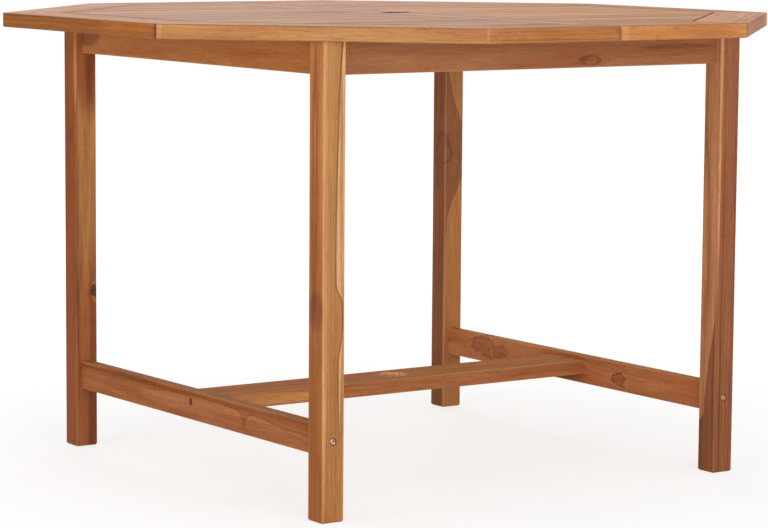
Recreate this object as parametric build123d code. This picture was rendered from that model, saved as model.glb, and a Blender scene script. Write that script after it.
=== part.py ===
from build123d import *
from math import cos, isclose, radians, sqrt, tan
import os

# Octagonal outdoor dining table, in millimetres, +Z up, origin on the floor under the middle of the top.
# -Y is the front and -X the left. The top is two framed half octagons that meet on a seam along Y.

# Overall sizes
TABLE_HEIGHT = 750.0
TOP_ACROSS = 1200.0
TOP_THICKNESS = 23.0
TOP_OVERHANG = 195.0
LEG_SECTION = 40.0

# Boards of the top
BORDER_WIDTH = 87.0
STILE_WIDTH = 45.0
SLAT_COUNT = 11
SLAT_GAP = 5.75
SEAM_GAP = 1.5
SLAT_END_GAP = 3.0
TONGUE_LENGTH = 9.0
TONGUE_THICKNESS = 8.0
TONGUE_FIT = 0.25
GROOVE_ROOM = 1.0
PARASOL_HOLE = 50.0

# Frame under the top
APRON_HEIGHT = 52.0
APRON_THICKNESS = 20.0
APRON_INSET = 12.0
BATTEN_WIDTH = 50.0
BATTEN_THICKNESS = 20.0
BATTEN_OFFSET = 60.0
BLOCK_THICKNESS = 25.0
BLOCK_HEIGHT = 40.0
BLOCK_GAP = 1.5

# Low frame
STRETCHER_HEIGHT = 48.0
STRETCHER_THICKNESS = 20.0
STRETCHER_BOTTOM = 100.0
BOARD_WIDTH = 90.0
BOARD_THICKNESS = 24.0
BOARD_BOTTOM = 117.0

# Rounded arrises. Those at the top's corners and at its seam are rounder than its edge by an easing
LEG_ROUND = 3.0
FOOT_CHAMFER = 2.5
RAIL_ROUND = 2.0
TOP_ROUND = 2.0
CORNER_EASING = 3.0

# Bolts and barrel nuts
BOLT_DIAMETER = 6.0
BOLT_HEAD_DIAMETER = 10.0
BOLT_HEAD_HEIGHT = 4.0
BOLT_SOCKET = 5.0
BOLT_SOCKET_DEPTH = 2.5
BOLT_HEAD_ROOM = 1.0
LEG_BOLT_RECESS = 0.5
BOARD_BOLT_RECESS = 5.0
BARREL_DIAMETER = 10.0
BARREL_LENGTH = 14.0
BARREL_SETBACK = 25.0
HANGER_DEPTH = 28.0
HANGER_TAIL = 3.0
WASHER_DIAMETER = 16.0
WASHER_THICKNESS = 1.5
NUT_ACROSS = 10.0
NUT_HEIGHT = 5.0
BOLT_FIT = 0.2

# Screws and dowels
SCREW_DIAMETER = 4.0
SCREW_HEAD_DIAMETER = 8.0
SCREW_HEAD_HEIGHT = 3.0
SCREW_LENGTH = 35.0
SCREW_TIP = 4.0
APRON_SCREW_POCKET = 10.0
DOWEL_DIAMETER = 8.0
DOWEL_LENGTH = 40.0
DOWEL_END_ROOM = 1.0
FASTENER_FIT = 0.2

# Places that follow from the sizes above
OUTER_HALF = TOP_ACROSS / 2
INNER_HALF = OUTER_HALF - BORDER_WIDTH
BORDER_MIDDLE = (OUTER_HALF + INNER_HALF) / 2
SIDE_SLOPE = tan(radians(22.5))
UNDERSIDE = TABLE_HEIGHT - TOP_THICKNESS
TOP_MIDDLE = TABLE_HEIGHT - TOP_THICKNESS / 2
STILE_INNER = SEAM_GAP / 2
STILE_OUTER = STILE_INNER + STILE_WIDTH
SLAT_WIDTH = (2 * INNER_HALF - (SLAT_COUNT + 1) * SLAT_GAP) / SLAT_COUNT
CORNER_ROUND = TOP_ROUND + CORNER_EASING
LEG_SPAN = TOP_ACROSS - 2 * TOP_OVERHANG
LEG_MIDDLE = LEG_SPAN / 2 - LEG_SECTION / 2
LEG_INNER = LEG_SPAN / 2 - LEG_SECTION
APRON_MIDDLE = LEG_SPAN / 2 - APRON_INSET - APRON_THICKNESS / 2
APRON_INNER = APRON_MIDDLE - APRON_THICKNESS / 2
STRETCHER_INNER = LEG_MIDDLE - STRETCHER_THICKNESS / 2
STRETCHER_OUTER = LEG_MIDDLE + STRETCHER_THICKNESS / 2
STRETCHER_BOLT_Z = STRETCHER_BOTTOM + STRETCHER_HEIGHT / 2
BOARD_BOLT_Z = BOARD_BOTTOM + BOARD_THICKNESS / 2
BLOCK_Z = UNDERSIDE - APRON_HEIGHT / 2
BLOCK_BACK = sqrt(2) * LEG_INNER - BLOCK_GAP
BLOCK_FRONT = BLOCK_BACK - BLOCK_THICKNESS
HALVES = {"left": -1, "right": 1}
ENDS = {"front": -1, "rear": 1}
QUARTERS = [(side, end) for side in HALVES.values() for end in ENDS.values()]


def octagon(half):
    """Plan of a regular octagon with flats square to X and Y, half its width across flats."""
    return RegularPolygon(half, 8, major_radius=False, rotation=22.5)


def slab(plan, bottom, thickness):
    """A flat plan made a board whose lower face is at the height bottom."""
    return extrude(Pos(0, 0, bottom) * plan, amount=thickness)


def turned(*outline):
    """A round piece along Z, from its half outline of (radius, height) points that starts and ends on Z."""
    return revolve(Plane.XZ * make_face(Polyline(*outline, close=True)), Axis.Z)


def along(start, direction, piece):
    """A piece that was made along Z from the origin, set at start and pointed along direction."""
    return Plane(origin=start, z_dir=direction).location * piece


def rod(diameter, length):
    """A plain round rod along Z that starts at the origin."""
    return Cylinder(diameter / 2, length, align=(Align.CENTER, Align.CENTER, Align.MIN))


def rail(size_x, size_y, height, bottom, middle, axis):
    """A straight rail with its four long edges rounded, axis being the one that it runs along."""
    bar = Pos(*middle, bottom + height / 2) * Box(size_x, size_y, height)
    return fillet(bar.edges().filter_by(axis), RAIL_ROUND)


def socket_bolt(length):
    """A cap bolt along Z: its head's socketed outer face at the origin, and its tip at length."""
    head, shank = BOLT_HEAD_DIAMETER / 2, BOLT_DIAMETER / 2
    neck = BOLT_HEAD_HEIGHT
    bolt = turned((0, 0), (head, 0), (head, neck), (shank, neck), (shank, length), (0, length))
    return bolt - extrude(RegularPolygon(BOLT_SOCKET / 2, 6, major_radius=False), amount=BOLT_SOCKET_DEPTH)


def bolt_hole(recess, length):
    """The hole for a cap bolt whose head lies recess below the face at the origin."""
    mouth = BOLT_HEAD_DIAMETER / 2 + BOLT_HEAD_ROOM
    shank = BOLT_DIAMETER / 2 + BOLT_FIT
    seat = recess + BOLT_HEAD_HEIGHT
    end = length + BOLT_FIT
    return turned((0, 0), (mouth, 0), (mouth, seat), (shank, seat), (shank, end), (0, end))


def screw(fit=0.0):
    """A countersunk wood screw along Z, head at the origin. With a fit it is the hole for that screw."""
    head, shank = SCREW_HEAD_DIAMETER / 2 + fit, SCREW_DIAMETER / 2 + fit
    tip = SCREW_LENGTH + fit
    return turned((0, 0), (head, 0), (shank, SCREW_HEAD_HEIGHT), (shank, tip - SCREW_TIP), (0, tip))


def slat_middle(number):
    """Place along Y of the middle of a slat, counted from 0 at the front."""
    return -INNER_HALF + SLAT_GAP + SLAT_WIDTH / 2 + number * (SLAT_WIDTH + SLAT_GAP)


LEG_BOLT_LENGTH = LEG_SECTION + BARREL_SETBACK + BARREL_DIAMETER / 2
BOARD_BOLT_LENGTH = STRETCHER_THICKNESS + BARREL_SETBACK + BARREL_DIAMETER / 2


def leg_bolt_places():
    """Start and direction of each bolt through a leg into a stretcher's end."""
    face = LEG_SPAN / 2
    return [((side * LEG_MIDDLE, end * face, STRETCHER_BOLT_Z), (0, -end, 0)) for side, end in QUARTERS]


def board_bolt_places():
    """Start and direction of each bolt through a stretcher into the low board's end."""
    return [((side * STRETCHER_OUTER, 0, BOARD_BOLT_Z), (-side, 0, 0)) for side in HALVES.values()]


def barrel_places():
    """Middle of each barrel nut, the direction of its bolt, and the underside that it is pushed in from."""
    in_stretcher = LEG_INNER - BARREL_SETBACK
    in_board = STRETCHER_INNER - BARREL_SETBACK
    places = [((side * LEG_MIDDLE, end * in_stretcher, STRETCHER_BOLT_Z), (0, end, 0), STRETCHER_BOTTOM)
              for side, end in QUARTERS]
    places += [((side * in_board, 0, BOARD_BOLT_Z), (side, 0, 0), BOARD_BOTTOM) for side in HALVES.values()]
    return places


def hanger_places():
    """Middle of each corner block's inner face, and the direction from there into the leg."""
    reach = BLOCK_FRONT / sqrt(2)
    return [((side * reach, end * reach, BLOCK_Z), (side, end, 0)) for side, end in QUARTERS]


def batten_screw_places():
    """Head of each screw up through a batten: one for each slat that crosses it clear of its ends."""
    rows = [slat_middle(number) for number in range(SLAT_COUNT)]
    rows = [y for y in rows if abs(y) < APRON_INNER - SLAT_WIDTH / 2]
    return [(side * BATTEN_OFFSET, y, UNDERSIDE - BATTEN_THICKNESS) for side in HALVES.values() for y in rows]


def apron_screw_places():
    """Head of each screw up through an apron into a slat, two to an apron."""
    head = UNDERSIDE - BATTEN_THICKNESS
    row = slat_middle((SLAT_COUNT - 1) // 2 + 2)
    places = [(side * APRON_MIDDLE, end * row, head) for side, end in QUARTERS]
    return places + [(side * row, end * APRON_MIDDLE, head) for side, end in QUARTERS]


def dowel_places():
    """Middle and direction of each dowel: across each mitre, across the seam, and in each end of a stile."""
    corner = Vector(BORDER_MIDDLE / cos(radians(22.5)), 0, TOP_MIDDLE)
    stile = (STILE_INNER + STILE_OUTER) / 2
    along_x = Vector(1, 0, 0)
    along_y = Vector(0, 1, 0)
    turns = [22.5 + 45 * number for number in range(8)]
    places = [(corner.rotate(Axis.Z, turn), along_y.rotate(Axis.Z, turn)) for turn in turns]
    places += [(Vector(0, end * BORDER_MIDDLE, TOP_MIDDLE), along_x) for end in ENDS.values()]
    places += [(Vector(side * stile, end * INNER_HALF, TOP_MIDDLE), along_y) for side, end in QUARTERS]
    return places


def screws(places, fit=0.0):
    """One screw, or one screw hole, at each place, pointing up."""
    return [Pos(*place) * screw(fit) for place in places]


def dowels(diameter, length):
    """One rod centred on each dowel's place."""
    return [along(middle - direction * (length / 2), direction, rod(diameter, length))
            for middle, direction in dowel_places()]


def leg_bolt_holes():
    """The bolt holes that run through the legs into the stretchers."""
    return [along(*place, bolt_hole(LEG_BOLT_RECESS, LEG_BOLT_LENGTH)) for place in leg_bolt_places()]


def board_bolt_holes():
    """The bolt holes that run through the stretchers into the low board."""
    return [along(*place, bolt_hole(BOARD_BOLT_RECESS, BOARD_BOLT_LENGTH)) for place in board_bolt_places()]


def barrel_holes():
    """Blind holes from below, each ending just over its barrel nut."""
    holes = []
    for (x, y, z), _, underside in barrel_places():
        depth = z + BARREL_LENGTH / 2 + BOLT_FIT - underside
        holes.append(Pos(x, y, underside) * rod(BARREL_DIAMETER + 2 * BOLT_FIT, depth))
    return holes


def hanger_holes():
    """The holes for the hanger bolts, through the corner blocks and into the legs."""
    length = BLOCK_THICKNESS + BLOCK_GAP + HANGER_DEPTH + BOLT_FIT
    return [along(*place, rod(BOLT_DIAMETER + 2 * BOLT_FIT, length)) for place in hanger_places()]


def make_leg(side, end):
    """One square leg from the floor to the underside of the top, with eased arrises and foot."""
    post = Pos(side * LEG_MIDDLE, end * LEG_MIDDLE, UNDERSIDE / 2) * Box(LEG_SECTION, LEG_SECTION, UNDERSIDE)
    post = fillet(post.edges().filter_by(Axis.Z), LEG_ROUND)
    post = chamfer(post.faces().sort_by(Axis.Z)[0].edges(), FOOT_CHAMFER)
    return post - leg_bolt_holes() - hanger_holes()


def apron_pockets():
    """Deep holes up from the aprons' lower edges to the heads of the apron screws."""
    bottom = UNDERSIDE - APRON_HEIGHT
    depth = APRON_HEIGHT - BATTEN_THICKNESS
    return [Pos(x, y, bottom) * rod(APRON_SCREW_POCKET, depth) for x, y, _ in apron_screw_places()]


def make_apron(x, y):
    """One apron. It runs along Y if it stands to the left or right of the middle, and else along X."""
    bottom = UNDERSIDE - APRON_HEIGHT
    if x:
        bar = rail(APRON_THICKNESS, 2 * LEG_INNER, APRON_HEIGHT, bottom, (x * APRON_MIDDLE, 0), Axis.Y)
    else:
        bar = rail(2 * LEG_INNER, APRON_THICKNESS, APRON_HEIGHT, bottom, (0, y * APRON_MIDDLE), Axis.X)
    return bar - apron_pockets() - screws(apron_screw_places(), FASTENER_FIT)


def make_stretcher(side):
    """One low rail between the front and rear legs of a side."""
    middle = (side * LEG_MIDDLE, 0)
    bar = rail(STRETCHER_THICKNESS, 2 * LEG_INNER, STRETCHER_HEIGHT, STRETCHER_BOTTOM, middle, Axis.Y)
    return bar - leg_bolt_holes() - board_bolt_holes() - barrel_holes()


def make_parasol_board():
    """The flat board between the stretchers, with the lower parasol hole in its middle."""
    bar = rail(2 * STRETCHER_INNER, BOARD_WIDTH, BOARD_THICKNESS, BOARD_BOTTOM, (0, 0), Axis.X)
    hole = Pos(0, 0, BOARD_BOTTOM) * rod(PARASOL_HOLE, BOARD_THICKNESS)
    return bar - hole - board_bolt_holes() - barrel_holes()


def make_corner_block(side, end):
    """A block across an inside corner: its ends lie flat on both aprons, its back faces the leg's arris."""
    back = sqrt(2) * BLOCK_BACK - APRON_INNER
    front = sqrt(2) * BLOCK_FRONT - APRON_INNER
    corners = [(APRON_INNER, front), (APRON_INNER, back), (back, APRON_INNER), (front, APRON_INNER)]
    plan = make_face(Polyline(*[(side * x, end * y) for x, y in corners], close=True))
    block = Pos(0, 0, BLOCK_Z - BLOCK_HEIGHT / 2) * extrude(plan, amount=BLOCK_HEIGHT, dir=(0, 0, 1))
    return block - hanger_holes()


def eased_board(plan):
    """A board of the top with all arrises of its upper face rounded."""
    board = slab(plan, UNDERSIDE, TOP_THICKNESS)
    return fillet(board.faces().sort_by(Axis.Z)[-1].edges(), TOP_ROUND)


def dowel_holes():
    """The holes for the dowels, a little longer than they are."""
    return dowels(DOWEL_DIAMETER + 2 * FASTENER_FIT, DOWEL_LENGTH + DOWEL_END_ROOM)


def border_end(cut, sign):
    """Inner and outer corner of one end of a border board: square at cut, or mitred where there is no cut."""
    if cut is None:
        return (INNER_HALF, sign * INNER_HALF * SIDE_SLOPE), (OUTER_HALF, sign * OUTER_HALF * SIDE_SLOPE)
    return (INNER_HALF, cut), (OUTER_HALF, cut)


def off_mitre(edge):
    """Whether an edge of a border board that still faces +X lies clear of the board's mitres."""
    middle = edge.center()
    return not isclose(abs(middle.Y), middle.X * SIDE_SLOPE, abs_tol=0.01)


def make_border(angle, low=None, high=None):
    """One border board on the octagon's side that faces angle. low or high cuts that end at the seam.

    The mitres are glued and sanded flush, so the corners are rounded across both boards as one.
    """
    low_inner, low_outer = border_end(low, -1)
    high_inner, high_outer = border_end(high, 1)
    plan = make_face(Polyline(low_inner, low_outer, high_outer, high_inner, close=True))
    plan = plan & fillet(octagon(OUTER_HALF).vertices(), CORNER_ROUND)
    for cut, corner in ((low, low_outer), (high, high_outer)):
        if cut is not None:
            plan = fillet(plan.vertices().sort_by_distance(corner)[0], CORNER_ROUND)
    board = slab(plan, UNDERSIDE, TOP_THICKNESS)
    board = fillet(board.faces().sort_by(Axis.Z)[-1].edges().filter_by(off_mitre), TOP_ROUND)
    lower_edge = board.edges().filter_by(Axis.Y).group_by(Axis.Z)[0].sort_by(Axis.X)[-1]
    return Rot(0, 0, angle) * fillet(lower_edge, TOP_ROUND) - dowel_holes()


def tongue_groove(plan):
    """A groove at mid thickness for the slats' tongues, cut wherever the plan covers a board."""
    height = TONGUE_THICKNESS + 2 * TONGUE_FIT
    return slab(plan, TOP_MIDDLE - height / 2, height)


def make_grooved_border(angle):
    """A border board that slats end on, mitred at both ends and grooved along its inner edge."""
    return make_border(angle) - tongue_groove(octagon(INNER_HALF + TONGUE_LENGTH + GROOVE_ROOM))


def strip_plan(side, near, far, middle, width):
    """Plan of a strip on one side of the seam, from near to far along X and width across Y."""
    return Pos(side * (near + far) / 2, middle) * Rectangle(far - near, width)


def make_stile(side):
    """The board along the seam that closes one half's frame, with a groove and half the parasol hole."""
    board = eased_board(strip_plan(side, STILE_INNER, STILE_OUTER, 0, 2 * INNER_HALF))
    groove = strip_plan(side, STILE_OUTER - TONGUE_LENGTH - GROOVE_ROOM, OUTER_HALF, 0, TOP_ACROSS)
    board -= Pos(0, 0, UNDERSIDE) * rod(PARASOL_HOLE, TOP_THICKNESS)
    return board - tongue_groove(groove) - dowel_holes()


def make_slat(side, number):
    """One slat from the stile to the border, tongued at both ends, the outer one cut to the border's line."""
    middle = slat_middle(number)
    body = strip_plan(side, STILE_OUTER + SLAT_END_GAP, OUTER_HALF, middle, SLAT_WIDTH)
    tongues = strip_plan(side, STILE_OUTER - TONGUE_LENGTH, OUTER_HALF, middle, SLAT_WIDTH)
    tongues = tongues & octagon(INNER_HALF + TONGUE_LENGTH)
    board = eased_board(body & octagon(INNER_HALF - SLAT_END_GAP))
    board += slab(tongues, TOP_MIDDLE - TONGUE_THICKNESS / 2, TONGUE_THICKNESS)
    return board - screws(batten_screw_places() + apron_screw_places(), FASTENER_FIT)


def make_batten(side):
    """The bar under one half of the top, between the aprons, that its slats' inner ends are screwed to."""
    bottom = UNDERSIDE - BATTEN_THICKNESS
    bar = rail(BATTEN_WIDTH, 2 * APRON_INNER, BATTEN_THICKNESS, bottom, (side * BATTEN_OFFSET, 0), Axis.Y)
    return bar - screws(batten_screw_places(), FASTENER_FIT)


def make_barrel_nut(middle, bolt_direction):
    """A barrel nut that stands upright, drilled across for its bolt."""
    barrel = Pos(*middle) * Cylinder(BARREL_DIAMETER / 2, BARREL_LENGTH)
    bolt_bore = rod(BOLT_DIAMETER + 2 * BOLT_FIT, 2 * BARREL_DIAMETER)
    start = Vector(*middle) - Vector(*bolt_direction) * BARREL_DIAMETER
    return barrel - along(start, bolt_direction, bolt_bore)


def make_hanger_bolt():
    """A stud along Z: its tail stands out of the block at the origin, and its tip ends in the leg."""
    tail = WASHER_THICKNESS + NUT_HEIGHT + HANGER_TAIL
    return Pos(0, 0, -tail) * rod(BOLT_DIAMETER, tail + BLOCK_THICKNESS + BLOCK_GAP + HANGER_DEPTH)


def make_washer():
    """A flat washer that lies on the block's inner face."""
    ring = Circle(WASHER_DIAMETER / 2) - Circle(BOLT_DIAMETER / 2 + BOLT_FIT)
    return slab(ring, -WASHER_THICKNESS, WASHER_THICKNESS)


def make_nut():
    """A hexagon nut that lies on the washer."""
    hexagon = RegularPolygon(NUT_ACROSS / 2, 6, major_radius=False) - Circle(BOLT_DIAMETER / 2 + BOLT_FIT)
    return slab(hexagon, -WASHER_THICKNESS - NUT_HEIGHT, NUT_HEIGHT)


def top_pieces():
    """Nodes of both halves of the top, by name."""
    pieces = {}
    for half, side in HALVES.items():
        pieces[f"{half}_border_side"] = make_grooved_border(90 - 90 * side)
        pieces[f"{half}_stile"] = make_stile(side)
        pieces[f"{half}_batten"] = make_batten(side)
        for place, end in ENDS.items():
            seam_end = {"low": STILE_INNER} if side != end else {"high": -STILE_INNER}
            pieces[f"{half}_border_{place}"] = make_border(90 * end, **seam_end)
            pieces[f"{half}_border_{place}_diagonal"] = make_grooved_border(90 * end - 45 * side * end)
        for number in range(SLAT_COUNT):
            pieces[f"{half}_slat_{number + 1:02d}"] = make_slat(side, number)
    return pieces


def frame_pieces():
    """Nodes of the legs, aprons, corner blocks, stretchers and low board, by name."""
    pieces = {"parasol_board": make_parasol_board()}
    for place, end in ENDS.items():
        pieces[f"apron_{place}"] = make_apron(0, end)
    for half, side in HALVES.items():
        pieces[f"apron_{half}"] = make_apron(side, 0)
        pieces[f"stretcher_{half}"] = make_stretcher(side)
        for place, end in ENDS.items():
            pieces[f"leg_{place}_{half}"] = make_leg(side, end)
            pieces[f"corner_block_{place}_{half}"] = make_corner_block(side, end)
    return pieces


def fastener_pieces():
    """Nodes of the fasteners, by name, each a group of like pieces."""
    leg_bolt = Pos(0, 0, LEG_BOLT_RECESS) * socket_bolt(LEG_BOLT_LENGTH - LEG_BOLT_RECESS)
    board_bolt = Pos(0, 0, BOARD_BOLT_RECESS) * socket_bolt(BOARD_BOLT_LENGTH - BOARD_BOLT_RECESS)
    groups = {
        "leg_bolts": [along(*place, leg_bolt) for place in leg_bolt_places()],
        "board_bolts": [along(*place, board_bolt) for place in board_bolt_places()],
        "barrel_nuts": [make_barrel_nut(middle, direction) for middle, direction, _ in barrel_places()],
        "hanger_bolts": [along(*place, make_hanger_bolt()) for place in hanger_places()],
        "hanger_washers": [along(*place, make_washer()) for place in hanger_places()],
        "hanger_nuts": [along(*place, make_nut()) for place in hanger_places()],
        "batten_screws": screws(batten_screw_places()),
        "apron_screws": screws(apron_screw_places()),
        "top_dowels": dowels(DOWEL_DIAMETER, DOWEL_LENGTH),
    }
    return {name: Compound(children=pieces) for name, pieces in groups.items()}


os.makedirs("parts", exist_ok=True)
for name, piece in {**top_pieces(), **frame_pieces(), **fastener_pieces()}.items():
    export_step(piece, f"parts/{name}.step")
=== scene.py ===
"""Looks of an octagonal teak patio table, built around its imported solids.

The solids stay as the boards and each gets a log of its own to be sawn from. The bolts, nuts, washers,
screws, barrel nuts and dowels are worked out again here with threads, sockets and recesses.
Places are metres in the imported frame: +X right, -Y front, +Z up. Sizes of fasteners and of the marks on
boards are millimetres.
"""

import logging
import math
from collections.abc import Callable
from dataclasses import KW_ONLY, dataclass, field
from enum import Enum
from functools import partial

import bpy
import numpy as np
from bpy.types import Material, Node, NodeSocket, NodeTree
from mathutils import Euler, Matrix, Vector


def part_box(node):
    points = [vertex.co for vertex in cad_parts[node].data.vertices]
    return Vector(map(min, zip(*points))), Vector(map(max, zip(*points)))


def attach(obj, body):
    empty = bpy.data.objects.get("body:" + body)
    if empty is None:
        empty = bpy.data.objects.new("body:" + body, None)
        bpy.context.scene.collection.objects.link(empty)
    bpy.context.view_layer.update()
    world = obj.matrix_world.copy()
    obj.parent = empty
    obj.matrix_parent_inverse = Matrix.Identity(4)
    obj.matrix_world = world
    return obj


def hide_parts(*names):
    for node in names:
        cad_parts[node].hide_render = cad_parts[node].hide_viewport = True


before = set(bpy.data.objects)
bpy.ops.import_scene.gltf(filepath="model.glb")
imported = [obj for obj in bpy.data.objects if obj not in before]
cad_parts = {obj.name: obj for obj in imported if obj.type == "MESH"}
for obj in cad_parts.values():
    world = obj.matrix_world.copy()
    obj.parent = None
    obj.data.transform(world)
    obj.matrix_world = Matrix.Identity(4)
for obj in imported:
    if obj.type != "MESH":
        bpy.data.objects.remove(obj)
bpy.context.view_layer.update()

LOG = logging.getLogger("patio_table")
BODY = "root"
MM = 0.001
SIDES = {"left": -1, "right": 1}
ENDS = {"front": -1, "rear": 1}
QUARTERS = [(side, end) for side in SIDES.values() for end in ENDS.values()]
UP = (0, 0, 1)
OCTAGON_CORNERS = 8
HALF_CORNER = math.radians(22.5)

# Half of a mark that runs right across the table, in millimetres
FAR = 6000

# Socket numbers of a Mix node that works on colours
MIX_FACTOR, MIX_A, MIX_B, MIX_RESULT = 0, 6, 7, 2

# Places of late wood, body and pale wood in the growth bands, from 0 to 1
BAND_PLACES = (0.28, 0.47, 0.70)

# Distance of a log's pith from a board's middle, in millimetres
PITH_REACH = (45.0, 170.0)

# Depth of a thread as a share of its pitch, and rows of corners for each pitch
THREAD_DEPTH, THREAD_ROWS = 0.6, 6

# Edges that turn by more than this many degrees stay sharp on the fasteners
SHARP_ANGLE = 32

Colour = tuple[float, float, float, float]
Triple = tuple[float, float, float]
Point = tuple[float, float]
Band = tuple[np.ndarray, np.ndarray]
Adder = Callable[..., Node]

# What lies over a board's colour: its share, how it is blended and its own colour
Layer = tuple[Node | NodeSocket | float, str, Node | NodeSocket | Colour]


def linear(hex_colour: str) -> Colour:
    """Turn an sRGB hex colour into the linear values that the shaders work in.

    Args:
        hex_colour: A colour such as "#C38C5E".

    Returns:
        Linear red, green and blue, with an alpha of 1.
    """
    channels = np.array([int(hex_colour[place:place + 2], 16) for place in (1, 3, 5)]) / 255.0
    curve = np.where(channels <= 0.04045, channels / 12.92, ((channels + 0.055) / 1.055) ** 2.4)
    return (*curve.tolist(), 1.0)


def add_node(tree: NodeTree, kind: str, inputs: dict | None = None, stops: list | None = None,
             **settings: object) -> Node:
    """Add one shader node with its settings, its inputs and, for a colour ramp, its stops.

    Args:
        tree: The node tree of a material or of the world.
        kind: Blender's name for the node's type, without ShaderNode before it.
        inputs: Sockets by name or number. Another node's socket, or a node for its first one, is linked,
            and any other value is set.
        stops: Places from 0 to 1 and linear colours, for a colour ramp.
        settings: Properties of the node.

    Returns:
        The new node.
    """
    node = tree.nodes.new(f"ShaderNode{kind}")
    for name, value in settings.items():
        setattr(node, name, value)
    for socket, value in (inputs or {}).items():
        source = value.outputs[0] if isinstance(value, Node) else value
        if isinstance(source, NodeSocket):
            tree.links.new(source, node.inputs[socket])
        else:
            node.inputs[socket].default_value = source
    if stops:
        ramp = node.color_ramp.elements
        while len(ramp) < len(stops):
            ramp.new(1.0)
        for element, (place, colour) in zip(ramp, stops):
            element.position = place
            element.color = colour
    return node


def new_material(name: str) -> tuple[Material, Adder]:
    """Make an empty node material.

    Args:
        name: Name of the material.

    Returns:
        The material, and add_node for its node tree.
    """
    material = bpy.data.materials.new(name)
    material.use_nodes = True
    material.node_tree.nodes.clear()
    return material, partial(add_node, material.node_tree)


class Grain(Enum):
    """Ways that a board's fibres run, as the turn in degrees that lays a log's Z axis along them."""

    UPRIGHT = (0.0, 0.0, 0.0)
    ALONG_X = (0.0, 90.0, 0.0)
    ALONG_Y = (-90.0, 0.0, 0.0)
    RISING = (0.0, 90.0, 45.0)
    FALLING = (0.0, 90.0, -45.0)

    @property
    def turn(self) -> Euler:
        """The turn as angles in radians."""
        return Euler([math.radians(angle) for angle in self.value])


class Wood(Enum):
    """Tones of the table's boards: their pale early bands, their body and their dark late bands.

    Teak runs from honey to umber, with pale sapwood under the bark. The hidden pieces are sawn hardwood.
    """

    SAPWOOD = ("#DCB084", "#CF9A6B", "#B07A4C")
    STRAW = ("#D4A06C", "#C48A58", "#AA7042")
    WHEAT = ("#CE9860", "#BE834E", "#A2683A")
    HONEY = ("#CC9058", "#BE7C46", "#A06132")
    GOLDEN = ("#C2814A", "#B06C38", "#8E5228")
    ROSE = ("#C68E64", "#B87C52", "#9C623C")
    SIENNA = ("#BC7E54", "#AC6C44", "#8C5230")
    CINNAMON = ("#B6774C", "#A6653C", "#864C2A")
    MAUVE = ("#A06444", "#925B3D", "#77442A")
    TAWNY = ("#B87640", "#A86430", "#8A4C22")
    CHESTNUT = ("#AE6C30", "#A05C26", "#884A1E")
    RUSSET = ("#AE6C42", "#9C5A34", "#7A4224")
    RUST = ("#A65E2E", "#944F24", "#743E1A")
    UMBER = ("#905A3A", "#7E4A2E", "#603420")
    # Painted shade for the gaps between the boards of the top
    GAP_SHADE = ("#84583C", "#6E4830", "#523422")
    SAWN_HARDWOOD = ("#C9A882", "#B48F68", "#8E6A46")

    def stops(self, shade: float) -> list:
        """Stops of a ramp over the growth bands, from late wood to pale wood, times a shade."""
        return [(place, (*[shade * value for value in linear(colour)[:3]], 1.0))
                for place, colour in zip(BAND_PLACES, reversed(self.value))]


class Axis(Enum):
    """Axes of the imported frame, by the names of a vector's parts."""

    X = "X"
    Y = "Y"
    Z = "Z"


@dataclass(frozen=True)
class Zone:
    """A part of a board that is other wood, with a soft border and perhaps a line along it.

    Sizes are millimetres. The border wanders by the wobble, as a slow noise along the fibres does.
    """

    wood: Wood
    _: KW_ONLY
    shade: float = 1.0
    rim: str | None = None
    rim_width: float = 1.6
    rim_share: float = 0.85
    blur: float = 1.5
    wobble: float = 6.0

    def depth(self, add: Adder, place: NodeSocket) -> Node:
        """Measure how far inside the border each point is, in millimetres.

        Args:
            add: Adds a node to the material.
            place: Object coordinates.

        Returns:
            The node that gives the depth, which is less than 0 outside.
        """
        raise NotImplementedError


@dataclass(frozen=True)
class Lens(Zone):
    """A zone that is an ellipsoid."""

    centre: Triple
    half: Triple

    def depth(self, add: Adder, place: NodeSocket) -> Node:
        """Depth in an ellipsoid: 1 less the distance from its middle in halves, times its smallest half.

        Args:
            add: Adds a node to the material.
            place: Object coordinates.

        Returns:
            The node that gives the depth.
        """
        centred = add("Mapping", {
            "Vector": place, "Location": [MM * value for value in self.centre],
            "Scale": [MM * value for value in self.half]}, vector_type="TEXTURE")
        distance = add("VectorMath", {0: centred}, operation="LENGTH").outputs["Value"]
        return add("MapRange", {"Value": distance, "To Min": min(self.half), "To Max": 0.0}, clamp=False)


@dataclass(frozen=True)
class Border(Zone):
    """A zone past a curve that is drawn along a board, right through its thickness.

    The points are places along and across, in rising order. Beyond is 1 if the zone lies on the greater
    side of the curve, and else -1.
    """

    along: Axis
    across: Axis
    beyond: int
    points: tuple[Point, ...]

    def depth(self, add: Adder, place: NodeSocket) -> Node:
        """Depth past a curve: the place across, less the curve's at the same place along.

        Args:
            add: Adds a node to the material.
            place: Object coordinates.

        Returns:
            The node that gives the depth.
        """
        runs, offsets = zip(*self.points)
        first, last, low = runs[0], runs[-1], min(offsets)
        spread = max(offsets) - low + 1.0
        parts = add("SeparateXYZ", {0: place}).outputs
        share = add("MapRange", {
            "Value": parts[self.along.value], "From Min": MM * first, "From Max": MM * last})
        curve = add("ValToRGB", {"Fac": share}, [
            ((run - first) / (last - first), (*[(offset - low) / spread] * 3, 1.0))
            for run, offset in self.points])
        curve.color_ramp.interpolation = "CARDINAL"
        edge = add("Math", {0: curve, 1: MM * spread, 2: MM * low}, operation="MULTIPLY_ADD")
        past = add("Math", {0: parts[self.across.value], 1: edge}, operation="SUBTRACT")
        return add("Math", {0: past, 1: self.beyond / MM}, operation="MULTIPLY")


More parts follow.
